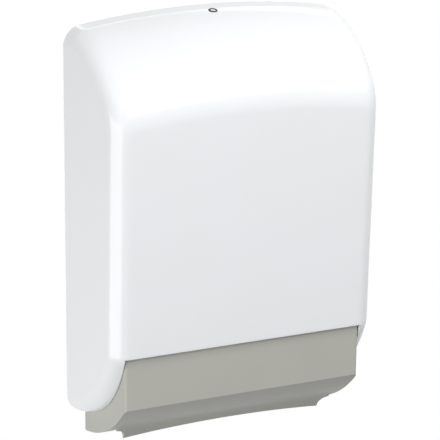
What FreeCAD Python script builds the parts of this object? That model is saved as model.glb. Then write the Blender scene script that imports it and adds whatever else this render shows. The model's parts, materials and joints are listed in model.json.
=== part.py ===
import FreeCAD, Part
import Sketcher
import math
import os
import re

from FreeCAD import Placement, Rotation, Vector

# Wall dispenser for interleaved paper towels, millimetres.
# X runs across the dispenser, the wall is the plane Y = 0, the front faces -Y and Z is up.
# The origin is the middle of the four wall screw holes, on the wall.
# "Depth" in the comments is the distance from the wall, which is -Y.

os.makedirs("parts", exist_ok=True)
doc = FreeCAD.newDocument("towel_dispenser")
sheet = doc.addObject("Spreadsheet::Sheet", "sizes")

sizes = [
    # cover
    ("cover_width", 275, "cover across the wall edge"),
    ("cover_draft", 3.2, "degrees that each side leans in towards the front"),
    ("skin", 2.5, "wall of the cover"),
    ("edge_round", 16, "round of every outer edge of the cover"),
    ("lower_edge_z", -120, "lower edge of the cover's front"),
    ("cover_top_z", 177, "top of the cover at the wall, in the middle"),
    ("crown_radius", 800, "bow of the cover's top across its width"),
    ("rim_depth", 18, "flat rim along the wall edge of the top"),
    ("rim_slope", 1.5, "degrees that the rim falls"),
    ("top_slope", 8, "degrees that the top falls just in front of the rim"),
    ("top_radius", 125, "long curve of the top, seen from the side"),
    ("brow_radius", 47, "turn from the top to the front"),
    ("front_depth", 104, "depth at the lower edge of the front"),
    ("front_lean", 1.4, "degrees that the front leans out towards its top"),
    ("leg_drop", 87, "legs below the lower edge, at the wall"),
    ("leg_radius", 139, "curve of the leg's underside"),
    ("leg_corner", 25, "turn from the front to the leg's underside"),
    ("leg_width", 17.5, "legs beside the chute, at the wall"),
    ("rib_thick", 1.6, "ribs inside the cover"),
    ("rib_height", 5, "ribs inside the cover"),
    ("rib_start", 34, "ribs from the wall"),
    ("rib_margin", 14, "ribs above the cover's lower edge"),
    ("heel_gap", 0.6, "air between the legs' heels and the wall as the cover swings"),
    # outlet chute
    ("side_gap", 0.7, "air between a leg and the chute"),
    ("front_gap", 1.1, "air between the cover's lower edge and the chute"),
    ("chute_wall", 2.5, "wall of the chute"),
    ("chute_rise", 8, "chute above the cover's lower edge, hidden by the cover"),
    ("chute_face", 51, "chute's front face below the cover's lower edge"),
    ("chute_drop", 108, "chute's underside below the cover's edge, at the wall"),
    ("underside_radius", 180, "curve of the chute's underside"),
    ("chute_corner", 3.5, "upright front corners of the chute"),
    ("lip_inset", 18.5, "front lip's ends from the legs"),
    ("lip_root_depth", 69, "where the lip leaves the underside"),
    ("lip_tip_depth", 52.5, "lower edge of the lip"),
    ("lip_drop", 99, "lower edge of the lip below the cover's edge"),
    ("lip_arch", 5.5, "how far the lip's edge is arched up in the middle"),
    ("lip_thick", 2.4, "front and rear lips"),
    ("lip_hollow", 1.8, "how far the lip's front is hollowed"),
    ("lip_neck", 2, "straight end of the lip below its flare"),
    ("lip_flare", 9, "flared end of the lip"),
    ("mouth_inset", 3, "mouth inside the lip's ends"),
    ("slot_back_depth", 33, "rear edge of the mouth in the underside"),
    # rear ramp
    ("ramp_thick", 2.2, "ramp that carries the towels to the mouth"),
    ("ramp_inset", 10, "ramp's ends from the legs"),
    ("ramp_tip_depth", 39, "front of the ramp, at the mouth"),
    ("ramp_tip_drop", 95, "front of the ramp below the cover's edge"),
    ("ramp_top_drop", 58, "where the ramp leaves its flange"),
    ("ramp_flange", 22, "height of the ramp's flange"),
    ("rear_lip_drop", 102, "lower edge of the rear lip"),
    ("rear_lip_arch", 1.8, "how far its edge is arched up in the middle"),
    ("rear_lip_inset", 5, "rear lip inside the front lip's ends"),
    ("ramp_notch", 13.5, "notch of the ramp's flange beside the chute's tabs"),
    # wall plate
    ("plate_thick", 3, "wall plate"),
    ("plate_inset", 6.5, "wall plate inside the cover's wall edge"),
    ("plate_top_z", 148, "top of the wall plate"),
    ("plate_rim", 9, "rim of the wall plate, from its face"),
    ("plate_rim_thick", 2, "rim of the wall plate"),
    ("hole_span_x", 180, "wall screws, across"),
    ("hole_span_z", 200, "wall screws, up"),
    ("hole_radius", 2.75, "wall screw holes"),
    ("hole_boss_radius", 8, "raised ring round each wall screw hole"),
    ("hole_boss_height", 2, "raised ring round each wall screw hole"),
    # side guides
    ("guide_thick", 2.5, "side guides"),
    ("guide_depth", 84, "side guides from the wall"),
    ("guide_height", 232, "side guides"),
    ("guide_corner", 46, "upper front corner of a guide"),
    ("guide_flange", 9.4, "tabs of a guide, from its wall"),
    ("guide_lift", 3.5, "guides above the chute"),
    ("guide_screw_low", 40, "lower screw of a guide above the cover's lower edge"),
    ("guide_screw_high", 52, "upper screw of a guide below its top"),
    ("window_front", 24, "window of a guide from its front edge"),
    ("window_back", 22, "window of a guide from the wall plate"),
    ("window_ends", 68, "window of a guide from its top and bottom"),
    # hinge
    ("pivot_depth", 14, "hinge axis from the wall"),
    ("pivot_drop", 72, "hinge axis below the cover's lower edge"),
    ("pin_radius", 3, "hinge pin"),
    ("pin_length", 16, "hinge pin"),
    ("pin_chamfer", 0.6, "end of the hinge pin"),
    ("pin_head_radius", 4.6, "head of the hinge pin"),
    ("pin_head", 1.6, "head of the hinge pin"),
    ("pin_boss", 3.8, "boss inside the chute that holds the pin"),
    ("bush_wall", 1.4, "nylon bush in the leg"),
    ("hinge_boss_wall", 2.2, "boss in the leg"),
    ("run_gap", 0.08, "running clearance of the pins"),
    ("seat_gap", 0.05, "clearance of fixed round fits"),
    # lock
    ("lock_depth", 23, "lock from the wall"),
    ("lock_flange_radius", 4.3, "ring that shows on the cover"),
    ("lock_flange", 0.9, "ring that shows on the cover"),
    ("flange_sink", 0.3, "ring let into the cover"),
    ("lock_body_radius", 3.6, "body of the lock"),
    ("lock_body_length", 13, "body of the lock below the cover's surface"),
    ("barrel_radius", 2.4, "turning barrel"),
    ("barrel_end", 1.4, "barrel past the end of the lock's body"),
    ("keyway_width", 1.0, "slot for the key"),
    ("keyway_length", 3.2, "slot for the key"),
    ("keyway_deep", 6, "slot for the key"),
    ("lock_pad", 4, "thickened flat under the lock"),
    ("lock_pad_rim", 4.5, "pad round the lock's body"),
    ("washer_rim", 3.2, "washer round the lock's body"),
    ("washer_thick", 0.8, "washer under the lock pad"),
    ("nut_thick", 3, "nut of the lock"),
    ("nut_flats", 11, "nut of the lock, across flats"),
    ("cam_length", 14, "tongue from the lock's axis"),
    ("cam_width", 7, "tongue"),
    ("cam_thick", 2, "tongue"),
    ("cam_screw_radius", 1.3, "screw that holds the tongue"),
    ("cam_screw_head", 1.2, "screw that holds the tongue"),
    ("cam_screw_rim", 1.2, "head of that screw round its shank"),
    ("catch_thick", 2, "steel strip of the catch"),
    ("catch_inner_x", 8, "near side of the hook from the middle"),
    ("catch_width", 8, "hook"),
    ("catch_gap", 0.6, "air between the tongue and the hook"),
    ("catch_reach", 2.2, "hook above and below the tongue"),
    ("catch_foot", 18, "catch's foot on the wall plate"),
    ("catch_screw_span", 16, "screws of the catch, across"),
    # screws
    ("screw_radius", 1.75, "self-tapping screws"),
    ("screw_head_radius", 3.4, "self-tapping screws"),
    ("screw_head", 2.2, "self-tapping screws"),
    ("screw_boss_radius", 4.2, "bosses for the screws"),
    ("screw_boss_height", 9, "bosses for the screws"),
    ("tab_thick", 2.5, "tabs that the screws hold"),
    ("tab_height", 14, "tabs that the screws hold"),
    ("tab_reach", 12, "tabs of the chute, inwards"),
    ("tab_drop_high", 20, "upper tabs of the chute below the cover's lower edge"),
    ("tab_drop_low", 46, "lower tabs of the chute below the cover's lower edge"),
]
for row, (alias, value, note) in enumerate(sizes, start=1):
    sheet.set("A%d" % row, alias)
    sheet.set("B%d" % row, str(value))
    sheet.set("C%d" % row, note)
    sheet.setAlias("B%d" % row, alias)
doc.recompute()


# widths that follow the cover's width
derived = {
    "cutout_width": "(cover_width - 2 * leg_width)",
    "plate_width": "(cover_width - 2 * plate_inset)",
    "ramp_width": "(cutout_width - 2 * ramp_inset)",
    "lip_width": "(cutout_width - 2 * lip_inset)",
}
aliases = {alias for alias, value, note in sizes}


def ref(expression):
    """Writes out the derived widths of an expression and puts the sheet's name before its sizes."""
    def written(found):
        word = found[0]
        if word in derived:
            return ref(derived[word])
        return "sizes." + word if word in aliases else word

    return re.sub("[a-z_]+", written, expression)


probe = doc.addObject("App::FeaturePython", "probe")
probe.addProperty("App::PropertyFloat", "Result")


def number(expression):
    """The present value of an expression of sizes."""
    probe.setExpression("Result", ref(expression))
    probe.recompute()
    return probe.Result


class Values:
    """Reads a size by its name."""

    def __getattr__(self, alias):
        if alias in derived:
            return number(derived[alias])
        return float(getattr(sheet, alias))


size = Values()


def bound(obj, **expressions):
    """Binds properties of an object to sizes of the sheet."""
    for prop, expression in expressions.items():
        obj.setExpression(prop.replace("__", "."), expression)
    return obj


def box(name, across, deep, high, left, back_depth, bottom):
    """A box from its left side, its depth range and its bottom, all as expressions."""
    block = doc.addObject("Part::Box", name)
    bound(block, Length=ref(across), Width=ref(deep), Height=ref(high))
    bound(block, Placement__Base__x=ref(left), Placement__Base__z=ref(bottom))
    bound(block, Placement__Base__y=ref("-(%s) - (%s)" % (back_depth, deep)))
    return block


def rod(name, radius, length, start, axis, sides=0):
    """A cylinder, or a prism of that many sides, along +X or -Y from its start point."""
    turns = {"x": Rotation(Vector(0, 1, 0), 90), "front": Rotation(Vector(1, 0, 0), 90)}
    solid = doc.addObject("Part::Prism" if sides else "Part::Cylinder", name)
    solid.Placement = Placement(Vector(), turns[axis])
    if sides:
        solid.Polygon = sides
        bound(solid, Circumradius=ref(radius))
    else:
        bound(solid, Radius=ref(radius))
    bound(solid, Height=ref(length), Placement__Base__x=ref(start[0]),
          Placement__Base__y=ref("-(%s)" % start[1]), Placement__Base__z=ref(start[2]))
    return solid


def fuse(name, shapes):
    union = doc.addObject("Part::MultiFuse", name)
    union.Shapes = shapes
    union.Refine = True
    return union


def cut(name, base, tools, merge=True):
    tool = tools[0]
    if len(tools) > 1:
        tool = fuse(name + "_tools", tools)
    difference = doc.addObject("Part::Cut", name)
    difference.Base = base
    difference.Tool = tool
    difference.Refine = merge
    return difference


def common(name, shapes):
    overlap = doc.addObject("Part::MultiCommon", name)
    overlap.Shapes = shapes
    overlap.Refine = True
    return overlap


def outline(name, edges):
    """A flat face from its edges."""
    face = doc.addObject("Part::Feature", name)
    face.Shape = Part.Face(Part.Wire(Part.__sortEdges__(edges)))
    return face


def extrusion(name, face, width, start):
    """Extrudes a face of the YZ plane along +X."""
    body = doc.addObject("Part::Extrusion", name)
    body.Base = face
    body.DirMode = "Custom"
    body.Dir = Vector(1, 0, 0)
    body.Solid = True
    bound(body, LengthFwd=ref(width), Placement__Base__x=ref(start))
    return body


def fillet(name, base, radius, choose):
    """Rounds the edges of a shape that the test chooses."""
    doc.recompute()
    chosen = [i for i, edge in enumerate(base.Shape.Edges, start=1) if choose(edge)]
    rounded = doc.addObject("Part::Fillet", name)
    rounded.Base = base
    rounded.Edges = [(i, radius, radius) for i in chosen]
    doc.recompute()
    return rounded


def point(depth, z):
    return Vector(0, -depth, z)


def line(a, b):
    return Part.LineSegment(a, b).toShape()


def closedLines(points):
    """Straight edges from each point to the next, and back to the first."""
    return [line(a, b) for a, b in zip(points, points[1:] + points[:1])]


def arcAbout(centre, radius, a, b):
    """The shorter arc about a centre of the YZ plane from a to b."""
    middle = (a + b) * 0.5 - centre
    middle.normalize()
    return Part.Arc(a, centre + middle * radius, b).toShape()


def midOf(edge):
    return edge.valueAt((edge.FirstParameter + edge.LastParameter) / 2)


def finish(label, obj):
    """Gives a finished piece the name of its node."""
    obj.Label = label
    pieces.append(obj)
    return obj


pieces = []


# Outline of the cover seen from the side
def coverProfile(inset):
    """The points and centres of the cover's side outline, moved inwards by inset."""
    top = math.radians(size.top_slope)
    rim = math.radians(size.rim_slope)
    lean = math.radians(size.front_lean)
    crease = point(size.rim_depth, size.cover_top_z - size.rim_depth * math.tan(rim))
    inward = Vector(0, math.sin(top), -math.cos(top))
    top_centre = crease + inward * size.top_radius
    normal = Vector(0, -math.cos(lean), -math.sin(lean))
    along = Vector(0, -math.sin(lean), math.cos(lean))
    edge = point(size.front_depth, size.lower_edge_z)
    # the brow touches the front from inside and the long curve from inside
    start = edge - normal * size.brow_radius - top_centre
    half = start.dot(along)
    rest = start.dot(start) - (size.top_radius - size.brow_radius) ** 2
    brow_centre = top_centre + start + along * (-half + math.sqrt(half ** 2 - rest))
    outward = brow_centre - top_centre
    outward.normalize()
    return {
        "crease": crease + inward * inset,
        "rim": point(0, size.cover_top_z) + Vector(0, math.sin(rim), -math.cos(rim)) * inset,
        "rim_fall": Vector(0, -math.cos(rim), -math.sin(rim)),
        "top_centre": top_centre,
        "brow_centre": brow_centre,
        "brow_start": brow_centre + outward * (size.brow_radius - inset),
        "brow_end": brow_centre + normal * (size.brow_radius - inset),
        "edge": edge - normal * inset,
        "down": along * -1,
        "normal": normal,
    }


def legArc(inset):
    """Centre of the leg's underside curve and its radius, moved inwards by inset."""
    tuck = 1.5
    front = point(size.front_depth, size.lower_edge_z - tuck)
    wall = point(0, size.lower_edge_z - size.leg_drop)
    chord = front - wall
    middle = (front + wall) * 0.5
    rise = math.sqrt(size.leg_radius ** 2 - (chord.Length / 2) ** 2)
    up = Vector(0, chord.z, -chord.y)
    up.normalize()
    if up.z < 0:
        up = up * -1
    return middle + up * rise, size.leg_radius - inset


def onCircle(centre, radius, depth):
    """The lower point of a circle at a depth."""
    across = depth + centre.y
    return point(depth, centre.z - math.sqrt(radius ** 2 - across ** 2))


def coverSolid(tag, inset, back):
    """The cover's outer form, or its hollow when inset is the wall."""
    profile = coverProfile(inset)
    far = size.front_depth
    below = size.lower_edge_z - size.leg_drop - size.leg_corner
    rim_back = profile["rim"] - profile["rim_fall"] * back
    foot = profile["edge"] + profile["down"] * ((profile["edge"].z - below) / abs(profile["down"].z))
    heel = Vector(0, rim_back.y, foot.z)
    side = outline("profile_" + tag, [
        line(rim_back, profile["crease"]),
        arcAbout(profile["top_centre"], size.top_radius - inset, profile["crease"], profile["brow_start"]),
        arcAbout(profile["brow_centre"], size.brow_radius - inset, profile["brow_start"],
                 profile["brow_end"]),
        line(profile["brow_end"], foot),
        line(foot, heel),
        line(heel, rim_back),
    ])
    # turned about a line square to the front, so that the front stays flat
    crowned = doc.addObject("Part::Revolution", "crowned_" + tag)
    crowned.Source = side
    crowned.Axis = profile["normal"]
    crowned.Angle = 4 * math.degrees(math.asin(size.cover_width / 2 / size.crown_radius))
    crowned.Symmetric = True
    crowned.Solid = True
    bound(crowned, Base__z=ref("cover_top_z - crown_radius"))

    # the legs' underside, carried on past the front so that it cuts cleanly
    centre, radius = legArc(inset)
    wall = onCircle(centre, radius, -back)
    steep = math.radians(80)
    over = centre + Vector(0, -math.sin(steep), -math.cos(steep)) * radius
    middle = onCircle(centre, radius, size.front_depth / 2)
    beyond = Vector(0, over.y - far, over.z)
    above = size.cover_top_z + far
    under = outline("leg_profile_" + tag, [
        Part.Arc(wall, middle, over).toShape(),
        line(over, beyond),
        line(beyond, Vector(0, beyond.y, above)),
        line(Vector(0, beyond.y, above), Vector(0, wall.y, above)),
        line(Vector(0, wall.y, above), wall),
    ])
    legs = extrusion("leg_form_" + tag, under, "cover_width", "-cover_width / 2")

    # upright sides with draft
    sides = doc.addObject("Part::Wedge", "sides_" + tag)
    reach = "(2 * front_depth)"
    lean_in = "%s * tan(cover_draft)" % reach
    grow = "%g * tan(cover_draft)" % back
    half_back = "(cover_width / 2 - %g + %s)" % (inset, grow)
    half_front = "(cover_width / 2 - %g - %s)" % (inset, lean_in)
    bound(sides, Ymin=ref("-" + reach), Xmin=ref("-" + half_front), Xmax=ref(half_front),
          X2min=ref("-" + half_back), X2max=ref(half_back),
          Zmin=ref("lower_edge_z - 2 * leg_drop"), Zmax=ref("cover_top_z + leg_drop"),
          Z2min=ref("lower_edge_z - 2 * leg_drop"), Z2max=ref("cover_top_z + leg_drop"))
    sides.Ymax = back
    rough = common("rough_" + tag, [crowned, legs, sides])

    # the long edge where the front turns into the legs' underside
    near = inset + size.leg_corner / 5

    def frontCorner(edge):
        middle = midOf(edge)
        level = abs(middle.z - size.lower_edge_z) < near
        return level and abs(middle.y + size.front_depth) < near and abs(middle.x) < size.leg_width

    turned = fillet("turned_" + tag, rough, size.leg_corner - inset, frontCorner)

    # every edge between a side and the rest, except along the wall
    def sideEdge(edge):
        middle = midOf(edge)
        half = size.cover_width / 2 - inset + middle.y * math.tan(math.radians(size.cover_draft))
        return abs(abs(middle.x) - half) < 0.05 and middle.y < back - 0.5

    return fillet("form_" + tag, turned, size.edge_round - inset, sideEdge)


# Front cover
outer = coverSolid("outer", 0, 0)
hollow = coverSolid("hollow", size.skin, 6)
ribLimit = coverSolid("rib_limit", size.skin + size.rib_height, 6)

edge_z = size.lower_edge_z
pivot_z = "lower_edge_z - pivot_drop"
shell = cut("shell", outer, [
    hollow,
    box("cutout", "cutout_width", "2 * front_depth", "2 * leg_drop", "-cutout_width / 2", "-leg_width",
        "lower_edge_z - 2 * leg_drop"),
])

# the back of each leg is cut round the hinge axis, so that it clears the wall as the cover swings
heel_block = box("heel_block", "2 * cover_width", "2 * pivot_depth", "leg_drop", "-cover_width",
                 "-pivot_depth", "lower_edge_z - pivot_drop - leg_drop")
heel_round = rod("heel_round", "pivot_depth - heel_gap", "2 * cover_width",
                 ("-cover_width", "pivot_depth", pivot_z), "x")
heel = cut("heel", heel_block, [heel_round])
relieved = cut("relieved", shell, [heel])

boss_start = "(cutout_width / 2 + 0.5)"
pin_start = "(cutout_width / 2 - side_gap - chute_wall - pin_boss)"
bush_length = "(%s + pin_length + 0.5 - %s)" % (pin_start, boss_start)
bush_radius = "(pin_radius + run_gap + bush_wall)"
boss_length = "(cover_width / 2 - %s)" % boss_start
leg_boss_radius = "%s + seat_gap + hinge_boss_wall" % bush_radius
leg_bosses = common("leg_bosses", [outer, fuse("leg_boss_pair", [
    rod("leg_boss_left", leg_boss_radius, boss_length, ("-cover_width / 2", "pivot_depth", pivot_z), "x"),
    rod("leg_boss_right", leg_boss_radius, boss_length, (boss_start, "pivot_depth", pivot_z), "x"),
])])
leg_bores = [
    rod("leg_bore_left", bush_radius + " + seat_gap", bush_length,
        ("-%s - %s" % (boss_start, bush_length), "pivot_depth", pivot_z), "x"),
    rod("leg_bore_right", bush_radius + " + seat_gap", bush_length,
        (boss_start, "pivot_depth", pivot_z), "x"),
]

# place of the lock, square to the cover's top
top_curve = coverProfile(0)["top_centre"]
lock_reach = size.lock_depth + top_curve.y
lock_point = point(size.lock_depth, top_curve.z + math.sqrt(size.top_radius ** 2 - lock_reach ** 2))
lock_turn = Rotation(Vector(1, 0, 0), math.degrees(math.asin(lock_reach / size.top_radius)))
lock_place = Placement(lock_point, lock_turn)


def onLock(name, radius, low, high):
    """A cylinder on the lock's axis between two heights from the cover's surface."""
    cylinder = doc.addObject("Part::Cylinder", name)
    bound(cylinder, Radius=ref(radius))
    cylinder.Height = high - low
    cylinder.Placement = lock_place * Placement(Vector(0, 0, low), Rotation())
    return cylinder


lock_pad = onLock("lock_pad", "lock_body_radius + lock_pad_rim", -size.lock_pad, -size.skin / 2)
lock_cuts = [
    onLock("lock_hole", "lock_body_radius + seat_gap", -size.lock_pad - 1, 5),
    onLock("lock_spot", "lock_flange_radius + 2 * seat_gap", -size.flange_sink, 5),
]
rib_bars = [
    box("rib_bar_%d" % i, "rib_thick", "front_depth", "cover_top_z - lower_edge_z",
        "%s - rib_thick / 2" % x, "rib_start", "lower_edge_z + rib_margin")
    for i, x in enumerate(("-cutout_width / 4", "cutout_width / 4"))
]
ribs = common("ribs", [cut("rib_band", hollow, [ribLimit]), fuse("rib_bars", rib_bars)])
cover_blank = fuse("cover_blank", [relieved, leg_bosses, lock_pad, ribs])
finish("front_cover", cut("cover", cover_blank, leg_bores + lock_cuts, merge=False))


# Outlet chute
def underside(depth, inset):
    """A point of the chute's curved underside, moved inwards by inset."""
    front = point(chute_front, edge_z - size.chute_face)
    wall = point(0, edge_z - size.chute_drop)
    chord = front - wall
    rise = math.sqrt(size.underside_radius ** 2 - (chord.Length / 2) ** 2)
    up = Vector(0, chord.z, -chord.y)
    up.normalize()
    if up.z < 0:
        up = up * -1
    centre = (front + wall) * 0.5 + up * rise
    return onCircle(centre, size.underside_radius - inset, depth)


def chuteForm(tag, inset, back, rise):
    """The chute's outer form, or its hollow when inset is the wall."""
    front = chute_front - inset
    top = edge_z + size.chute_rise + rise
    crease = underside(front, inset)
    heel = underside(-back, inset)
    side = outline("chute_profile_" + tag, [
        line(point(-back, top), point(front, top)),
        line(point(front, top), crease),
        Part.Arc(crease, underside(front / 2, inset), heel).toShape(),
        line(heel, point(-back, top)),
    ])
    half = "(cutout_width / 2 - side_gap - %g)" % inset
    return extrusion("chute_form_" + tag, side, "2 * " + half, "-" + half)


chute_front = size.front_depth - size.skin - size.front_gap
chute_half = size.cutout_width / 2 - size.side_gap
chute_outer = chuteForm("outer", 0, 0, 0)


def uprightCorner(edge):
    middle = midOf(edge)
    return abs(abs(middle.x) - chute_half) < 0.01 and abs(middle.y + chute_front) < 0.01


chute_soft = fillet("chute_soft", chute_outer, size.chute_corner, uprightCorner)
chute_hollow = chuteForm("hollow", size.chute_wall, 6, 6)

# the front lip hangs from the underside, hollow-curved in front, with flared ends and an arched edge
lip_root = underside(size.lip_root_depth, 0)
lip_tip = point(size.lip_tip_depth, edge_z - size.lip_drop)
lip_chord = lip_tip - lip_root
lip_chord.normalize()
lip_bend = (lip_root + lip_tip) * 0.5 + Vector(0, -lip_chord.z, lip_chord.y) * size.lip_hollow
lip_curve = Part.Arc(lip_root, lip_bend, lip_tip).toShape()
bend_centre = lip_curve.Curve.Center


def behindLip(spot):
    away = spot - bend_centre
    return bend_centre + away * ((away.Length + size.lip_thick) / away.Length)


lip_side = outline("lip_profile", [
    lip_curve,
    line(lip_tip, behindLip(lip_tip)),
    Part.Arc(behindLip(lip_tip), behindLip(lip_bend), behindLip(lip_root)).toShape(),
    line(behindLip(lip_root), lip_root),
])
lip_bar = extrusion("lip_bar", lip_side, "lip_width + 3 * lip_flare", "-lip_width / 2 - 1.5 * lip_flare")


def archedPlate(name, half, root_half, tip_z, arch):
    """A plate across the mouth whose lower edge is arched and whose ends flare out upwards."""
    depth = size.front_depth
    flare = size.lip_flare
    neck_z = tip_z + size.lip_neck
    low = Vector(half, -depth, tip_z)
    neck = Vector(half, -depth, neck_z)
    shoulder = Vector(root_half, -depth, neck_z + flare)
    swing = Vector(half + flare * 0.3, -depth, neck_z + flare * 0.7)
    upper = Vector(root_half, -depth, size.lower_edge_z - size.chute_face)
    mirror = [Vector(-p.x, p.y, p.z) for p in (low, neck, shoulder, swing, upper)]
    edges = [
        Part.Arc(mirror[0], Vector(0, -depth, tip_z + arch), low).toShape(),
        line(low, neck),
        Part.Arc(neck, swing, shoulder).toShape(),
        line(shoulder, upper),
        line(upper, mirror[4]),
        line(mirror[4], mirror[2]),
        Part.Arc(mirror[2], mirror[3], mirror[1]).toShape(),
        line(mirror[1], mirror[0]),
    ]
    plate = doc.addObject("Part::Extrusion", name)
    plate.Base = outline(name + "_outline", edges)
    plate.DirMode = "Custom"
    plate.Dir = Vector(0, 1, 0)
    plate.Solid = True
    bound(plate, LengthFwd=ref("front_depth"))
    return plate


lip_front = archedPlate("lip_front", size.lip_width / 2, size.lip_width / 2 + size.lip_flare,
                        edge_z - size.lip_drop, size.lip_arch)
chute_lip = common("chute_lip", [lip_bar, lip_front])
slot_front = -(behindLip(lip_bend).y) + 4
mouth = box("mouth", "lip_width - 2 * mouth_inset", "%g - slot_back_depth" % slot_front, "chute_drop",
            "-lip_width / 2 + mouth_inset", "slot_back_depth", "lower_edge_z - chute_drop - 10")

# screw tabs, and bosses for the hinge pins
tab_depth = "plate_thick + screw_boss_height"
tab_drops = ("tab_drop_high", "tab_drop_low")
chute_parts = []
chute_holes = [
    rod("pin_hole", "pin_radius + seat_gap", "cutout_width + 20",
        ("-cutout_width / 2 - 10", "pivot_depth", pivot_z), "x"),
]
inner_half = "(cutout_width / 2 - side_gap - chute_wall)"
screw_x = "(%s - tab_reach / 2)" % inner_half
pin_boss_radius = "pin_radius + seat_gap + hinge_boss_wall + 1"
for side, sign in (("left", -1), ("right", 1)):
    start = "-%s - 0.5" % inner_half if sign < 0 else pin_start
    chute_parts.append(rod("pin_boss_" + side, pin_boss_radius, "pin_boss + 0.5",
                           (start, "pivot_depth", pivot_z), "x"))
    left = "-%s - 0.5" % inner_half if sign < 0 else "%s - tab_reach" % inner_half
    for drop in tab_drops:
        name = "%s_%s" % (side, drop)
        chute_parts.append(box("chute_tab_" + name, "tab_reach + 0.5", "tab_thick", "tab_height", left,
                               tab_depth, "lower_edge_z - %s - tab_height / 2" % drop))
        chute_holes.append(rod("tab_hole_" + name, "screw_radius + seat_gap", tab_depth + " + tab_thick + 1",
                               ("%d * %s" % (sign, screw_x), "0", "lower_edge_z - %s" % drop), "front"))
chute_open = cut("chute_open", chute_soft, [chute_hollow, mouth])
chute_whole = fuse("chute_whole", [chute_open, chute_lip] + chute_parts)
finish("outlet_chute", cut("chute", chute_whole, chute_holes))

# Rear ramp, which leads the towels forward to the mouth
flange_back = size.plate_thick + size.screw_boss_height
flange_face = flange_back + size.ramp_thick
ramp_low = edge_z - size.ramp_tip_drop
rear_tip = edge_z - size.rear_lip_drop
ramp_top = edge_z - size.ramp_top_drop
slope = math.atan2(ramp_top - ramp_low, size.ramp_tip_depth - flange_face)
fall = size.ramp_thick * math.tan(slope / 2)
ramp_points = [
    point(flange_back, ramp_top + size.ramp_flange),
    point(flange_face, ramp_top + size.ramp_flange),
    point(flange_face, ramp_top),
    point(size.ramp_tip_depth, ramp_low),
    point(size.ramp_tip_depth, rear_tip),
    point(size.ramp_tip_depth - size.lip_thick, rear_tip),
    point(size.ramp_tip_depth - size.lip_thick, ramp_low - fall),
    point(flange_back, ramp_top - fall),
]
ramp_side = outline("ramp_profile", closedLines(ramp_points))
ramp_bar = extrusion("ramp_bar", ramp_side, "ramp_width", "-ramp_width / 2")
ramp_shape = archedPlate("ramp_shape", size.lip_width / 2 - size.rear_lip_inset, size.ramp_width / 2,
                         rear_tip, size.rear_lip_arch)
ramp_tall = box("ramp_tall", "ramp_width", "front_depth", "ramp_flange + ramp_tip_drop", "-ramp_width / 2",
                "0", "lower_edge_z - ramp_tip_drop + 3")
ramp_blank = common("ramp_blank", [ramp_bar, fuse("ramp_reach", [ramp_shape, ramp_tall])])
ramp_screw_x = ("-ramp_width * 0.36", "0", "ramp_width * 0.36")
ramp_screw_z = "lower_edge_z - ramp_top_drop + ramp_flange / 2 + 2"
ramp_holes = [
    rod("ramp_hole_%d" % i, "screw_radius + seat_gap", "front_depth", (x, "0", ramp_screw_z), "front")
    for i, x in enumerate(ramp_screw_x)
]
flange_notches = [
    box("flange_notch_" + side, "ramp_notch + 0.5", "ramp_thick + 0.02", "ramp_flange + 1", left, tab_depth,
        "lower_edge_z - ramp_top_drop + 1")
    for side, left in (("left", "-ramp_width / 2 - 0.5"), ("right", "ramp_width / 2 - ramp_notch"))
]
finish("towel_ramp", cut("ramp", ramp_blank, ramp_holes + flange_notches))


# Bodies made from sketches
def onPlane(body, role, name, lift="0"):
    """A sketch on one of the body's own origin planes, lifted along the plane's normal."""
    plane = next(f for f in body.Origin.OriginFeatures if f.Role == role)
    sketch = body.newObject("Sketcher::SketchObject", name)
    sketch.AttachmentSupport = (plane, "")
    sketch.MapMode = "FlatFace"
    sketch.setExpression("AttachmentOffset.Base.z", ref(lift))
    return sketch


def pin(sketch, kind, first, last, expression):
    """A dimension from the sketch's origin, bound to sizes."""
    index = sketch.addConstraint(Sketcher.Constraint(kind, -1, 1, first, last, number(expression)))
    sketch.setExpression("Constraints[%d]" % index, ref(expression))


def polygon(sketch, corners):
    """A closed outline whose corners are pairs of expressions."""
    spots = [Vector(number(x), number(y), 0) for x, y in corners]
    first = sketch.GeometryCount
    count = len(corners)
    for i in range(count):
        sketch.addGeometry(Part.LineSegment(spots[i], spots[(i + 1) % count]), False)
    for i in range(count):
        sketch.addConstraint(Sketcher.Constraint("Coincident", first + i, 2, first + (i + 1) % count, 1))
    for i, (x, y) in enumerate(corners):
        pin(sketch, "DistanceX", first + i, 1, x)
        pin(sketch, "DistanceY", first + i, 1, y)


def rectangle(sketch, left, right, low, high):
    polygon(sketch, [(left, low), (right, low), (right, high), (left, high)])


def circle(sketch, x, y, radius):
    index = sketch.GeometryCount
    sketch.addGeometry(Part.Circle(Vector(number(x), number(y), 0), Vector(0, 0, 1), number(radius)), False)
    pin(sketch, "DistanceX", index, 3, x)
    pin(sketch, "DistanceY", index, 3, y)
    dimension = sketch.addConstraint(Sketcher.Constraint("Radius", index, number(radius)))
    sketch.setExpression("Constraints[%d]" % dimension, ref(radius))


def newBody(name):
    return doc.addObject("PartDesign::Body", name)


def pad(body, sketch, length, kind="Pad"):
    feature = body.newObject("PartDesign::" + kind, kind.lower() + "_" + sketch.Name)
    feature.Profile = sketch
    feature.setExpression("Length", ref(length))
    return feature


def turned(name, corners, place):
    """A body of revolution about Z from its half outline, pairs of radius and height."""
    body = newBody(name)
    sketch = onPlane(body, "XZ_Plane", name + "_half")
    polygon(sketch, corners)
    feature = body.newObject("PartDesign::Revolution", name + "_turn")
    feature.Profile = sketch
    feature.ReferenceAxis = (sketch, ["V_Axis"])
    feature.Angle = 360
    body.Placement = place
    return body


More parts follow.
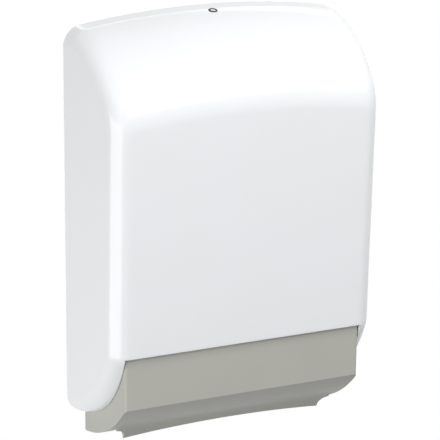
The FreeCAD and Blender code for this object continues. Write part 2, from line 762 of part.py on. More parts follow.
# Wall plate
plate = newBody("plate")
narrow = "(%s - 0.5)" % inner_half
wide = "(plate_width / 2)"
step_z = "lower_edge_z + chute_rise + 1.5"
plate_low = "lower_edge_z - chute_drop + 9"
outline_sketch = onPlane(plate, "XZ_Plane", "plate_outline")
polygon(outline_sketch, [
    ("-" + narrow, plate_low), (narrow, plate_low), (narrow, step_z), (wide, step_z), (wide, "plate_top_z"),
    ("-" + wide, "plate_top_z"), ("-" + wide, step_z), ("-" + narrow, step_z),
])
pad(plate, outline_sketch, "plate_thick")
rim_sketch = onPlane(plate, "XZ_Plane", "plate_rim_ring", "plate_thick - 0.5")
rectangle(rim_sketch, "-" + wide, wide, step_z, "plate_top_z")
rectangle(rim_sketch, "-%s + plate_rim_thick" % wide, wide + " - plate_rim_thick",
          step_z + " + plate_rim_thick", "plate_top_z - plate_rim_thick")
pad(plate, rim_sketch, "plate_rim + 0.5")
ring_sketch = onPlane(plate, "XZ_Plane", "hole_rings", "plate_thick - 0.5")
wall_holes = [(x + "hole_span_x / 2", z + "hole_span_z / 2") for x in ("-", "") for z in ("-", "")]
for x, z in wall_holes:
    circle(ring_sketch, x, z, "hole_boss_radius")
pad(plate, ring_sketch, "hole_boss_height + 0.5")

guide_x = "(%s + guide_thick + guide_flange / 2)" % inner_half
guide_z = ("lower_edge_z + guide_screw_low", "lower_edge_z + guide_height - guide_screw_high")
catch_screw_x = ("catch_inner_x + catch_width / 2 - catch_screw_span / 2",
                 "catch_inner_x + catch_width / 2 + catch_screw_span / 2")
catch_screw_z = "plate_top_z - plate_rim_thick - tab_height / 2 - 5"
screw_spots = {
    "chute_screws": [
        (sign + screw_x, "lower_edge_z - %s" % drop) for sign in ("-", "") for drop in tab_drops
    ],
    "ramp_screws": [(x, ramp_screw_z) for x in ramp_screw_x],
    "guide_screws": [(sign + guide_x, z) for sign in ("-", "") for z in guide_z],
    "catch_screws": [(x, catch_screw_z) for x in catch_screw_x],
}
doc.recompute()
hole_sketch = onPlane(plate, "XZ_Plane", "wall_holes", "plate_thick + hole_boss_height")
for x, z in wall_holes:
    circle(hole_sketch, x, z, "hole_radius")
pad(plate, hole_sketch, "plate_thick + hole_boss_height + 5", "Pocket")

# what repeats for every screw has few sides
shankSides = 10
bore_radius = "(screw_radius + seat_gap) / cos(180 / %d)" % shankSides
headSides = 16
screw_bosses = []
screw_bores = []
for label, spots in screw_spots.items():
    for i, (x, z) in enumerate(spots):
        spot = (x, "plate_thick - 0.5", z)
        screw_bosses.append(rod("%s_boss_%d" % (label, i), "screw_boss_radius", "screw_boss_height + 0.5",
                                spot, "front", headSides))
        screw_bores.append(rod("%s_bore_%d" % (label, i), bore_radius, "screw_boss_height + 1.5", spot,
                               "front", shankSides))
finish("wall_plate", cut("plate_bored", fuse("plate_bossed", [plate] + screw_bosses), screw_bores))


# Side guides, which keep the stack of towels straight
def sideGuide(side, sign):
    body = newBody("guide_" + side)
    inner = inner_half
    tab_near = "(%s + guide_thick - 0.5)" % inner
    tab_far = "(%s + guide_thick + guide_flange)" % inner
    if sign > 0:
        web_start = inner
        tab_left, tab_right = tab_near, tab_far
    else:
        web_start = "-%s - guide_thick" % inner
        tab_left, tab_right = "-" + tab_far, "-" + tab_near
    bottom = "lower_edge_z + chute_rise + guide_lift"
    top = "lower_edge_z + guide_height"
    web = onPlane(body, "YZ_Plane", "guide_web_" + side, web_start)
    polygon(web, [
        ("-plate_thick", bottom), ("-guide_depth", bottom), ("-guide_depth", top + " - guide_corner"),
        ("-guide_depth + guide_corner * 0.3", top + " - guide_corner * 0.3"),
        ("-guide_depth + guide_corner", top), ("-plate_thick", top),
    ])
    pad(body, web, "guide_thick")
    tabs = onPlane(body, "XZ_Plane", "guide_tabs_" + side, tab_depth)
    for z in guide_z:
        rectangle(tabs, tab_left, tab_right, z + " - tab_height / 2", z + " + tab_height / 2")
    pad(body, tabs, "tab_thick")
    doc.recompute()
    holes = onPlane(body, "XZ_Plane", "guide_holes_" + side, tab_depth + " + tab_thick")
    for z in guide_z:
        circle(holes, ("" if sign > 0 else "-") + guide_x, z, "screw_radius + seat_gap")
    pad(body, holes, "tab_thick + 1", "Pocket")
    window = onPlane(body, "YZ_Plane", "guide_window_" + side, web_start + " + guide_thick")
    rectangle(window, "-guide_depth + window_front", "-plate_thick - window_back", bottom + " + window_ends",
              top + " - window_ends")
    pad(body, window, "guide_thick + 1", "Pocket")
    return body


finish("side_guide_left", sideGuide("left", -1))
finish("side_guide_right", sideGuide("right", 1))

# Hinge pins and bushes, turned about the hinge axis
pin_end = pin_start + " + pin_length"
for side, sign in (("left", -1), ("right", 1)):
    turn = Rotation(Vector(0, 1, 0), 90 * sign)
    at = Vector(0, -size.pivot_depth, size.lower_edge_z - size.pivot_drop)
    pin_body = turned("pin_" + side, [
        ("0", pin_start + " - pin_head"), ("pin_head_radius", pin_start + " - pin_head"),
        ("pin_head_radius", pin_start), ("pin_radius", pin_start), ("pin_radius", pin_end + " - pin_chamfer"),
        ("pin_radius - pin_chamfer", pin_end), ("0", pin_end),
    ], Placement(at, turn))
    finish("hinge_pin_" + side, pin_body)
    bush_body = turned("bush_" + side, [
        ("pin_radius + run_gap", boss_start), (bush_radius, boss_start),
        (bush_radius, "%s + %s" % (boss_start, bush_length)),
        ("pin_radius + run_gap", "%s + %s" % (boss_start, bush_length)),
    ], Placement(at, turn))
    finish("hinge_bush_" + side, bush_body)

# Lock, modelled along its own axis with the cover's surface at height 0
finish("lock_housing", turned("housing", [
    ("barrel_radius + seat_gap", "-lock_body_length"), ("lock_body_radius", "-lock_body_length"),
    ("lock_body_radius", "-flange_sink"), ("lock_flange_radius", "-flange_sink"),
    ("lock_flange_radius", "lock_flange - 2 * flange_sink"),
    ("lock_flange_radius - flange_sink", "lock_flange - flange_sink"),
    ("barrel_radius + seat_gap", "lock_flange - flange_sink"),
], lock_place))

barrel = turned("barrel", [
    ("0", "-lock_body_length - barrel_end"), ("barrel_radius", "-lock_body_length - barrel_end"),
    ("barrel_radius", "flange_sink"), ("0", "flange_sink"),
], lock_place)
doc.recompute()
keyway = onPlane(barrel, "XY_Plane", "keyway", "flange_sink")
rectangle(keyway, "-keyway_length / 2", "keyway_length / 2", "-keyway_width / 2", "keyway_width / 2")
pad(barrel, keyway, "keyway_deep", "Pocket")
finish("lock_barrel", barrel)

washer_low = "-lock_pad - washer_thick"
finish("lock_washer", turned("washer", [
    ("lock_body_radius + seat_gap", washer_low), ("lock_body_radius + washer_rim", washer_low),
    ("lock_body_radius + washer_rim", "-lock_pad"), ("lock_body_radius + seat_gap", "-lock_pad"),
], lock_place))

nut = newBody("nut")
nut_sketch = onPlane(nut, "XY_Plane", "nut_outline", "-lock_pad - washer_thick - nut_thick")
corner = "(nut_flats / 2 / cos(30))"
polygon(nut_sketch, [
    ("%s * cos(%d)" % (corner, turn), "%s * sin(%d)" % (corner, turn)) for turn in range(0, 360, 60)
])
circle(nut_sketch, "0", "0", "lock_body_radius + seat_gap")
pad(nut, nut_sketch, "nut_thick")
nut.Placement = lock_place
finish("lock_nut", nut)

# the tongue points at the wall while the lock is open, and turns to the right behind the catch
cam = newBody("cam")
cam_top = "(-lock_body_length - barrel_end)"
cam_sketch = onPlane(cam, "XY_Plane", "cam_outline", cam_top + " - cam_thick")
rectangle(cam_sketch, "-cam_width / 2", "cam_width / 2", "-cam_width / 2", "cam_length")
pad(cam, cam_sketch, "cam_thick")
doc.recompute()
cam_hole = onPlane(cam, "XY_Plane", "cam_hole", cam_top)
circle(cam_hole, "0", "0", "cam_screw_radius + seat_gap")
pad(cam, cam_hole, "cam_thick + 1", "Pocket")
cam.Placement = lock_place
finish("lock_cam", cam)
cam_low = cam_top + " - cam_thick"
cam_head_radius = "cam_screw_radius + cam_screw_rim"
finish("cam_screw", turned("cam_screw_turned", [
    ("0", cam_low + " - cam_screw_head"), (cam_head_radius, cam_low + " - cam_screw_head"),
    (cam_head_radius, cam_low), ("cam_screw_radius", cam_low), ("cam_screw_radius", cam_top), ("0", cam_top),
], lock_place))

# Catch, a bent steel strip whose hook stands in front of the turned tongue
cam_middle = lock_place.multVec(Vector(0, 0, -size.lock_body_length - size.barrel_end - size.cam_thick / 2))
catch_back = size.plate_thick + size.screw_boss_height
strip = size.catch_thick
hook_back = -cam_middle.y + size.cam_width / 2 + size.catch_gap
arm_top = cam_middle.z - size.cam_thick / 2 - size.catch_reach
hook_top = cam_middle.z + size.cam_thick / 2 + size.catch_reach
base_low = size.plate_top_z - size.plate_rim_thick - size.catch_foot
catch_points = [
    point(catch_back, base_low), point(catch_back + strip, base_low),
    point(catch_back + strip, arm_top - strip), point(hook_back + strip, arm_top - strip),
    point(hook_back + strip, hook_top), point(hook_back, hook_top),
    point(hook_back, arm_top), point(catch_back, arm_top),
]
catch_side = outline("catch_profile", closedLines(catch_points))
catch_arm = extrusion("catch_arm", catch_side, "catch_width", "catch_inner_x")
catch_base = box("catch_base", "catch_width + catch_foot", "catch_thick", "tab_height",
                 "catch_inner_x - catch_foot / 2", tab_depth, catch_screw_z + " - tab_height / 2")
catch_holes = [
    rod("catch_hole_%d" % i, "screw_radius + seat_gap", "front_depth", (x, "0", catch_screw_z), "front")
    for i, x in enumerate(catch_screw_x)
]
finish("lock_catch", cut("catch", fuse("catch_blank", [catch_arm, catch_base]), catch_holes))


# Screws, each group held in one node
def screws(label, spots, held):
    """Screws whose heads lie on a piece of the given thickness."""
    solids = []
    seat = "(plate_thick + screw_boss_height + %s)" % held
    for i, (x, z) in enumerate(spots):
        name = "%s_%d" % (label, i)
        shank = rod(name + "_shank", "screw_radius", "%s + screw_boss_height - 1" % held,
                    (x, "plate_thick + 1", z), "front", shankSides)
        head = rod(name + "_head", "screw_head_radius", "screw_head", (x, seat, z), "front", headSides)
        solids.append(fuse(name, [shank, head]))
    group = doc.addObject("Part::Compound", label + "_group")
    group.Links = solids
    return finish(label, group)


screws("chute_screws", screw_spots["chute_screws"], "tab_thick")
screws("ramp_screws", screw_spots["ramp_screws"], "ramp_thick")
screws("guide_screws", screw_spots["guide_screws"], "tab_thick")
screws("catch_screws", screw_spots["catch_screws"], "catch_thick")

# Checks, then one file for each piece
doc.recompute()
for obj in doc.Objects:
    if "Invalid" in obj.State or "Error" in obj.State:
        raise RuntimeError("%s failed: %s" % (obj.Name, obj.State))
for piece in pieces:
    if piece.Shape.isNull() or not piece.Shape.isValid():
        raise RuntimeError("%s has no valid shape" % piece.Label)
for piece in pieces:
    piece.Shape.exportStep("parts/%s.step" % piece.Label)
    print("%-18s solids %d  volume %9.1f" % (piece.Label, len(piece.Shape.Solids), piece.Shape.Volume))
print("hinge axis", -size.pivot_depth, size.lower_edge_z - size.pivot_drop)
print("lock axis point", lock_point, "direction", lock_turn.multVec(Vector(0, 0, 1)))
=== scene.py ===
import json
import math

import bmesh
import bpy
from mathutils import Matrix, Vector


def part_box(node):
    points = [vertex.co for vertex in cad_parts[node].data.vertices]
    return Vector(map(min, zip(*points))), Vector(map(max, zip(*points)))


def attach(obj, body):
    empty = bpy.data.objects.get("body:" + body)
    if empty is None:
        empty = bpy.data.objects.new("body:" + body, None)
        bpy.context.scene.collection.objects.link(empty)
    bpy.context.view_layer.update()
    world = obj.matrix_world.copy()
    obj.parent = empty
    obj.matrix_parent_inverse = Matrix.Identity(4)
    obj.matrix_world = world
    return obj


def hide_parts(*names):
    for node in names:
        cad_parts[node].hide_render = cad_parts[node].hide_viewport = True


# Wall dispenser for folded paper towels, in metres. The wall is the plane y = 0, the front faces -y.
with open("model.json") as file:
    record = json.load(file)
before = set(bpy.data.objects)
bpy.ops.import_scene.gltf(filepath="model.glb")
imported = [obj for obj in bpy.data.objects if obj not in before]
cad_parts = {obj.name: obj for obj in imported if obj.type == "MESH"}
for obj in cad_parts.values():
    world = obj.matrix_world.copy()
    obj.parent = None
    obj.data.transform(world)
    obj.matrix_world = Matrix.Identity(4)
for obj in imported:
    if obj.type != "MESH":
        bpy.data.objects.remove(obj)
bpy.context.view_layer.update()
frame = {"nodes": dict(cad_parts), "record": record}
nodes = frame["nodes"]
print("frame:", len(nodes), "nodes")


# Shader helper: a wrapped socket, so that patterns are written as plain sums
class Wire:
    def __init__(self, shader, socket):
        self.shader = shader
        self.socket = socket

    def maths(self, operation, other):
        return self.shader.node("ShaderNodeMath", {0: self, 1: other}, {"operation": operation})

    def __add__(self, other):
        return self.maths("ADD", other)

    def __mul__(self, other):
        return self.maths("MULTIPLY", other)

    # 0 at low and 1 at high
    def between(self, low, high):
        values = {"Value": self, "From Min": low, "From Max": high}
        return self.shader.node("ShaderNodeMapRange", values)


class Shader:
    def __init__(self, owner):
        self.owner = owner
        owner.use_nodes = True
        self.tree = owner.node_tree
        self.tree.nodes.clear()

    # any node: its type, the values or links of its sockets, its settings, and the output wanted
    def node(self, kind, values, settings=None, output=0):
        made = self.tree.nodes.new(kind)
        for name, value in (settings or {}).items():
            setattr(made, name, value)
        for name, value in values.items():
            if isinstance(value, Wire):
                self.tree.links.new(value.socket, made.inputs[name])
            else:
                made.inputs[name].default_value = value
        return Wire(self, made.outputs[output]) if made.outputs else None

    # noise with cells of the given size in metres, longer along the axes that are stretched
    def noise(self, size, detail, stretch=(1, 1, 1)):
        scale = [1 / (size * along) for along in stretch]
        place = self.node("ShaderNodeTexCoord", {}, output="Object")
        placed = self.node("ShaderNodeMapping", {"Vector": place, "Scale": scale})
        values = {"Vector": placed, "Scale": 1.0, "Detail": detail}
        return self.node("ShaderNodeTexNoise", values, output="Fac")

    # a colour mix: its colour sockets are the seventh and eighth, and its third output is the colour
    def mix(self, share, first, second):
        values = {"Factor": share, 6: first, 7: second}
        return self.node("ShaderNodeMix", values, {"data_type": "RGBA"}, 2)

    def bump(self, height, distance, strength):
        values = {"Height": height, "Distance": distance, "Strength": strength}
        return self.node("ShaderNodeBump", values)

    def finish(self, **values):
        sockets = {name.replace("_", " "): value for name, value in values.items()}
        surface = self.node("ShaderNodeBsdfPrincipled", sockets)
        self.node("ShaderNodeOutputMaterial", {"Surface": surface})
        return self.owner

    # 1 for what the camera sees directly, in gloss or through glass
    def seen(self):
        kinds = ("Is Camera Ray", "Is Glossy Ray", "Is Transmission Ray")
        direct, gloss, through = (self.node("ShaderNodeLightPath", {}, output=kind) for kind in kinds)
        return direct.maths("MAXIMUM", gloss).maths("MAXIMUM", through)


def newFinish(name):
    return Shader(bpy.data.materials.new(name))


def whitePlastic():
    look = {
        "colour": (0.845, 0.866, 0.882, 1),
        "worn": (0.82, 0.838, 0.845, 1),
        "wornShare": 0.5,
        "cloudSize": 0.09,
        "roughness": 0.13,
        "wipeSize": 0.012,
        "wipeStretch": (1, 1, 6),
        "wipeRough": 0.05,
        "rippleSize": 0.004,
        "rippleHeight": 0.00002,
        "rippleStrength": 0.35,
    }
    shader = newFinish("gloss_white_abs")
    cloud = shader.noise(look["cloudSize"], 3.0).between(0.35, 0.8)
    wipes = shader.noise(look["wipeSize"], 4.0, look["wipeStretch"]).between(0.5, 0.75)
    ripple = shader.noise(look["rippleSize"], 1.0)
    return shader.finish(
        Base_Color=shader.mix(cloud * look["wornShare"], look["colour"], look["worn"]),
        Roughness=wipes * look["wipeRough"] + look["roughness"],
        Normal=shader.bump(ripple, look["rippleHeight"], look["rippleStrength"]),
        Specular_IOR_Level=0.5,
    )


def greyPlastic(name, colour, shade, roughness):
    look = {
        "cloudSize": 0.05,
        "grainSize": 0.0007,
        "grainRough": 0.08,
        "grainHeight": 0.00004,
        "grainStrength": 0.5,
        "scuffSize": 0.006,
        "scuffStretch": (4, 1, 1),
        "scuffRough": 0.06,
        "specular": 0.22,
    }
    shader = newFinish(name)
    cloud = shader.noise(look["cloudSize"], 3.0).between(0.3, 0.8)
    grain = shader.noise(look["grainSize"], 2.0)
    scuffs = shader.noise(look["scuffSize"], 5.0, look["scuffStretch"]).between(0.56, 0.7)
    return shader.finish(
        Base_Color=shader.mix(cloud, colour, shade),
        Roughness=grain * look["grainRough"] + scuffs * look["scuffRough"] + roughness,
        Normal=shader.bump(grain, look["grainHeight"], look["grainStrength"]),
        Specular_IOR_Level=look["specular"],
    )


def nylon():
    look = {
        "colour": (0.76, 0.74, 0.67, 1),
        "shade": (0.7, 0.68, 0.6, 1),
        "cloudSize": 0.006,
        "roughness": 0.38,
        "cloudRough": 0.1,
        "scatter": 0.1,
        "scatterDepth": 0.002,
    }
    shader = newFinish("natural_nylon")
    cloud = shader.noise(look["cloudSize"], 2.0)
    return shader.finish(
        Base_Color=shader.mix(cloud, look["colour"], look["shade"]),
        Roughness=cloud * look["cloudRough"] + look["roughness"],
        Subsurface_Weight=look["scatter"],
        Subsurface_Scale=look["scatterDepth"],
    )


def metal(name, colour, shade, roughness):
    look = {
        "lineSize": 0.0004,
        "lineStretch": (12, 1, 1),
        "lineRough": 0.12,
        "lineHeight": 0.00001,
        "lineStrength": 0.4,
        "spotSize": 0.003,
        "spotRough": 0.06,
    }
    shader = newFinish(name)
    drawn = shader.noise(look["lineSize"], 3.0, look["lineStretch"])
    spots = shader.noise(look["spotSize"], 3.0)
    return shader.finish(
        Base_Color=shader.mix(spots.between(0.3, 0.75), colour, shade),
        Metallic=1.0,
        Roughness=drawn * look["lineRough"] + spots * look["spotRough"] + roughness,
        Normal=shader.bump(drawn, look["lineHeight"], look["lineStrength"]),
    )


finishes = {
    "white_cover": whitePlastic(),
    "grey_chute": greyPlastic("satin_grey_abs", (0.465, 0.463, 0.425, 1), (0.448, 0.445, 0.407, 1), 0.34),
    "grey_inner": greyPlastic("inner_grey_abs", (0.4, 0.4, 0.375, 1), (0.375, 0.373, 0.35, 1), 0.42),
    "nylon": nylon(),
    "dark_lock": metal("black_nickel", (0.06, 0.06, 0.062, 1), (0.035, 0.035, 0.036, 1), 0.3),
    "bright_lock": metal("bright_nickel", (0.82, 0.81, 0.79, 1), (0.72, 0.71, 0.68, 1), 0.12),
    "zinc_steel": metal("zinc_plate", (0.66, 0.66, 0.65, 1), (0.52, 0.53, 0.52, 1), 0.28),
}
record = frame["record"]
slotOf = {row["node"]: row["material_slot"] for row in record["subparts"]}
bodyOf = {node: body for body, held in record["behaviour"]["bodies"].items() for node in held}
print("materials:", len(finishes))

# points closer than this are one: after a turn, in other shapes drawn here, and in a mesh from the CAD
turnWeld = 1e-7
tiny = 1e-6
cadWeld = 2e-6


def newObject(name, bm):
    bmesh.ops.recalc_face_normals(bm, faces=bm.faces)
    mesh = bpy.data.meshes.new(name)
    bm.to_mesh(mesh)
    bm.free()
    made = bpy.data.objects.new(name, mesh)
    bpy.context.scene.collection.objects.link(made)
    return made


# a piece from a bmesh, with the finish, the body and the slot of the node that it replaces
def newPiece(name, bm, node):
    piece = newObject(name, bm)
    piece.data.materials.append(finishes[slotOf[node]])
    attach(piece, bodyOf[node])
    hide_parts(node)
    return piece


# smooth shading, but sharp at edges that turn by more than sharpAngle degrees
def smooth(piece, sharpAngle):
    for face in piece.data.polygons:
        face.use_smooth = True
    bm = bmesh.new()
    bm.from_mesh(piece.data)
    for edge in bm.edges:
        if edge.is_manifold:
            edge.smooth = edge.calc_face_angle(0) < math.radians(sharpAngle)
    bm.to_mesh(piece.data)
    bm.free()
    flat = piece.modifiers.new("flat_faces", "WEIGHTED_NORMAL")
    flat.keep_sharp = True
    flat.weight = 90


# applies a piece's modifiers
def settle(piece):
    view = bpy.context.evaluated_depsgraph_get()
    view.update()
    final = bpy.data.meshes.new_from_object(piece.evaluated_get(view), depsgraph=view)
    piece.modifiers.clear()
    old = piece.data
    piece.data = final
    final.name = old.name
    bpy.data.meshes.remove(old)


# a wall of even thickness behind an open shell
def thicken(piece, thickness):
    wall = piece.modifiers.new("wall", "SOLIDIFY")
    wall.thickness = thickness
    wall.offset = -1
    wall.use_even_offset = True
    wall.use_quality_normals = True
    settle(piece)


# cuts a shape out of a piece, and uses the cutter up
def punch(piece, cutter):
    hole = piece.modifiers.new("hole", "BOOLEAN")
    hole.operation = "DIFFERENCE"
    hole.solver = "EXACT"
    hole.object = cutter
    settle(piece)
    bpy.data.objects.remove(cutter)


# a ring or disc turned about an axis: its half outline is pairs of radius and height
def turned(bm, outline, place, steps):
    corners = [bm.verts.new(place @ Vector((radius, 0, height))) for radius, height in outline]
    edges = [bm.edges.new((a, b)) for a, b in zip(corners, corners[1:] + corners[:1])]
    axis = place.to_3x3() @ Vector((0, 0, 1))
    bmesh.ops.spin(bm, geom=corners + edges, cent=place.translation, axis=axis, angle=math.tau,
                   steps=steps, use_merge=True)
    bmesh.ops.remove_doubles(bm, verts=bm.verts, dist=turnWeld)


# pushes a flat side along x
def pushed(bm, side, distance):
    made = bmesh.ops.extrude_face_region(bm, geom=side)["geom"]
    moved = [item for item in made if isinstance(item, bmesh.types.BMVert)]
    bmesh.ops.translate(bm, verts=moved, vec=(distance, 0, 0))


# cuts every face at a plane, and clears what lies on the side that the normal points to, if asked
def sliced(bm, spot, normal, clear=False):
    bmesh.ops.bisect_plane(bm, geom=bm.verts[:] + bm.edges[:] + bm.faces[:], dist=tiny,
                           plane_co=spot, plane_no=normal, clear_outer=clear)


# Front cover. Depth is the distance from the wall, and slopes and turns are in degrees
coverLow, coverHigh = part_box("front_cover")
cover = {
    "width": coverHigh.x - coverLow.x,
    "top": 0.177,
    "heel": -0.207,
    "draft": 3.2,
    "skin": 0.0025,
    "edgeRound": 0.016,
    "edgeSteps": 10,
    "lowerEdge": -0.120,
    "crown": 0.800,
    "crownStart": 0.020,
    "rimDepth": 0.018,
    "rimSlope": 1.5,
    "creaseRound": 0.0012,
    "creaseSteps": 3,
    "topSlope": 8,
    "topRadius": 0.125,
    "topSteps": 14,
    "browRadius": 0.047,
    "browSteps": 12,
    "frontDepth": 0.104,
    "frontLean": 1.4,
    "legRadius": 0.139,
    "legSteps": 14,
    "legTuck": 0.0015,
    "legCorner": 0.025,
    "cornerSteps": 8,
    "legWidth": 0.0175,
    "strips": 12,
    "overrun": 0.020,
    "sharpAngle": 36,
}
heel = {"radius": 0.0134, "step": 10, "pastWall": 0.0005, "above": 0.020, "below": 0.050, "behind": 0.020}
rib = {"x": 0.060, "thick": 0.0016, "height": 0.005, "sink": 0.9, "startTurn": -14, "end": 0.011,
       "topSteps": 6, "browSteps": 8}
hinge = {"depth": 0.014, "z": -0.192, "bossRadius": 0.00673, "boreRadius": 0.00453, "bossStart": 0.0005,
         "bossInset": 0.0068, "steps": 48}
lock = {"depth": 0.023, "padRadius": 0.0081, "padDepth": 0.004, "padSink": 0.6, "padSteps": 48,
        "holeRadius": 0.0037, "holeReach": 0.020, "holeSteps": 32}


def at(depth, z):
    return Vector((0, -depth, z))


# centre of a circle that touches the front and another circle, both from inside
def seated(edge, normal, along, radius, centre, bigRadius, side):
    start = edge - normal * radius - centre
    half = start.dot(along)
    rest = start.dot(start) - (bigRadius - radius) ** 2
    return centre + start + along * (-half + side * math.sqrt(half ** 2 - rest))


# points and centres of the cover's side outline, moved inwards by inset. It runs past the wall at the rim
# and the heel, so that the rounds are whole where the wall cuts them off
def coverArcs(inset):
    c = cover
    rim, top, lean = (math.radians(c[name]) for name in ("rimSlope", "topSlope", "frontLean"))
    inward = Vector((0, math.sin(top), -math.cos(top)))
    crease = at(c["rimDepth"], c["top"] - c["rimDepth"] * math.tan(rim))
    topCentre = crease + inward * c["topRadius"]
    normal = Vector((0, -math.cos(lean), -math.sin(lean)))
    along = Vector((0, -math.sin(lean), math.cos(lean)))
    edge = at(c["frontDepth"], c["lowerEdge"])
    brow = seated(edge, normal, along, c["browRadius"], topCentre, c["topRadius"], 1)
    front = at(c["frontDepth"], c["lowerEdge"] - c["legTuck"])
    back = at(0, c["heel"])
    chord = front - back
    rise = math.sqrt(c["legRadius"] ** 2 - (chord.length / 2) ** 2)
    legCentre = (front + back) / 2 + Vector((0, chord.z, -chord.y)).normalized() * rise
    corner = seated(edge, normal, along, c["legCorner"], legCentre, c["legRadius"], -1)
    rimFall = Vector((0, math.cos(rim), math.sin(rim)))
    legOverrun = Matrix.Rotation(c["overrun"] / c["legRadius"], 3, "X")
    return {
        "rim": at(0, c["top"] - inset) + rimFall * c["overrun"],
        "crease": crease + inward * inset,
        "topCentre": topCentre,
        "browStart": brow + (brow - topCentre).normalized() * (c["browRadius"] - inset),
        "browCentre": brow,
        "browEnd": brow + normal * (c["browRadius"] - inset),
        "cornerStart": corner + normal * (c["legCorner"] - inset),
        "cornerCentre": corner,
        "cornerEnd": corner + (corner - legCentre).normalized() * (c["legCorner"] - inset),
        "legCentre": legCentre,
        "heel": legCentre + legOverrun @ (back - legCentre),
        "along": along,
    }


# continues an outline by an arc, and returns its last vertex
def spun(bm, vert, centre, end, steps):
    turn = (vert.co - centre).angle(end - centre)
    made = bmesh.ops.spin(bm, geom=[vert], cent=centre, axis=(1, 0, 0), angle=turn, steps=steps)
    return next(item for item in made["geom_last"] if isinstance(item, bmesh.types.BMVert))


def straight(bm, vert, end):
    made = bmesh.ops.extrude_vert_indiv(bm, verts=[vert])["verts"][0]
    made.co = end
    return made


# how far the crown lies below its middle
def crownDrop(x):
    return cover["crown"] - math.sqrt(cover["crown"] ** 2 - x ** 2)


# lowers what lies beside the middle, parallel to the front, which stays flat
def crowned(co, along):
    if co.z < cover["lowerEdge"] + cover["crownStart"]:
        return co
    return co - along * crownDrop(co.x)


# the cover's outside as one closed block, with drafted sides and a crowned top
def coverBlock():
    c = cover
    arcs = coverArcs(0)
    bm = bmesh.new()
    rim = bm.verts.new(arcs["rim"])
    vert = straight(bm, rim, arcs["crease"])
    vert = spun(bm, vert, arcs["topCentre"], arcs["browStart"], c["topSteps"])
    vert = spun(bm, vert, arcs["browCentre"], arcs["browEnd"], c["browSteps"])
    vert = straight(bm, vert, arcs["cornerStart"])
    vert = spun(bm, vert, arcs["cornerCentre"], arcs["cornerEnd"], c["cornerSteps"])
    last = spun(bm, vert, arcs["legCentre"], arcs["heel"], c["legSteps"])
    bm.edges.new((last, rim))
    bmesh.ops.remove_doubles(bm, verts=bm.verts, dist=tiny)
    side = bmesh.ops.contextual_create(bm, geom=bm.verts[:] + bm.edges[:])["faces"]
    bmesh.ops.translate(bm, verts=bm.verts, vec=(-c["width"] / 2, 0, 0))
    pushed(bm, side, c["width"])
    across = [e for e in bm.edges if abs(e.verts[0].co.x - e.verts[1].co.x) > c["width"] / 2]
    bmesh.ops.subdivide_edges(bm, edges=across, cuts=c["strips"] - 1)
    lean = math.tan(math.radians(c["draft"])) / (c["width"] / 2)
    for vert in bm.verts:
        vert.co.x *= 1 + vert.co.y * lean
        vert.co = crowned(vert.co, arcs["along"])
    bm.normal_update()
    return bm


# rounds the crease along the rim, then every long edge between a side and the rest
def roundEdges(bm):
    c = cover
    near = 0.001
    sideways = 0.9

    def onCrease(vert):
        return abs(vert.co.y + c["rimDepth"]) < near and vert.co.z > 0

    crease = [e for e in bm.edges if all(onCrease(v) for v in e.verts)
              and abs(e.verts[0].co.x - e.verts[1].co.x) > near]
    bmesh.ops.bevel(bm, geom=crease, offset=c["creaseRound"], offset_type="OFFSET",
                    segments=c["creaseSteps"], profile=0.5, affect="EDGES", material=-1)
    bm.normal_update()
    sides = {f for f in bm.faces if abs(f.normal.x) > sideways}
    rounded = [e for e in bm.edges if sides.intersection(e.link_faces)
               and min(v.co.y for v in e.verts) < c["overrun"] / 2]
    bmesh.ops.bevel(bm, geom=rounded, offset=c["edgeRound"], offset_type="OFFSET",
                    segments=c["edgeSteps"], profile=0.5, affect="EDGES", clamp_overlap=False,
                    material=-1)


# the block's skin, open at the wall and between the legs
def coverShell():
    c = cover
    bm = coverBlock()
    roundEdges(bm)
    half = c["width"] / 2 - c["legWidth"]
    sliced(bm, (0, 0, 0), (0, 1, 0), clear=True)
    sliced(bm, (half, 0, 0), (1, 0, 0))
    sliced(bm, (-half, 0, 0), (1, 0, 0))
    sliced(bm, (0, 0, c["lowerEdge"]), (0, 0, 1))
    between = []
    for face in bm.faces:
        centre = face.calc_center_median()
        if abs(centre.x) < half and centre.z < c["lowerEdge"]:
            between.append(face)
    bmesh.ops.delete(bm, geom=between, context="FACES")
    return bm


# what the heels lose, so that they clear the wall as the cover swings
def heelCutter():
    pivot = at(hinge["depth"], hinge["z"])
    above, below = pivot.z + heel["above"], pivot.z - heel["below"]
    outline = [Vector((0, heel["pastWall"], above))]
    for degrees in range(0, 91, heel["step"]):
        turn = math.radians(degrees)
        outline.append(pivot + Vector((0, math.cos(turn), -math.sin(turn))) * heel["radius"])
    outline += [Vector((0, pivot.y, below)), Vector((0, heel["behind"], below)),
                Vector((0, heel["behind"], above))]
    bm = bmesh.new()
    outside = Vector((-cover["width"], 0, 0))
    side = bm.faces.new([bm.verts.new(corner + outside) for corner in outline])
    pushed(bm, [side], cover["width"] * 2)
    return newObject("heel_cutter", bm)


# the lock stands square to the cover's top
def lockPlace():
    centre = coverArcs(0)["topCentre"]
    reach = lock["depth"] + centre.y
    spot = at(lock["depth"], centre.z + math.sqrt(cover["topRadius"] ** 2 - reach ** 2))
    return Matrix.Translation(spot) @ Matrix.Rotation(math.asin(reach / cover["topRadius"]), 4, "X")


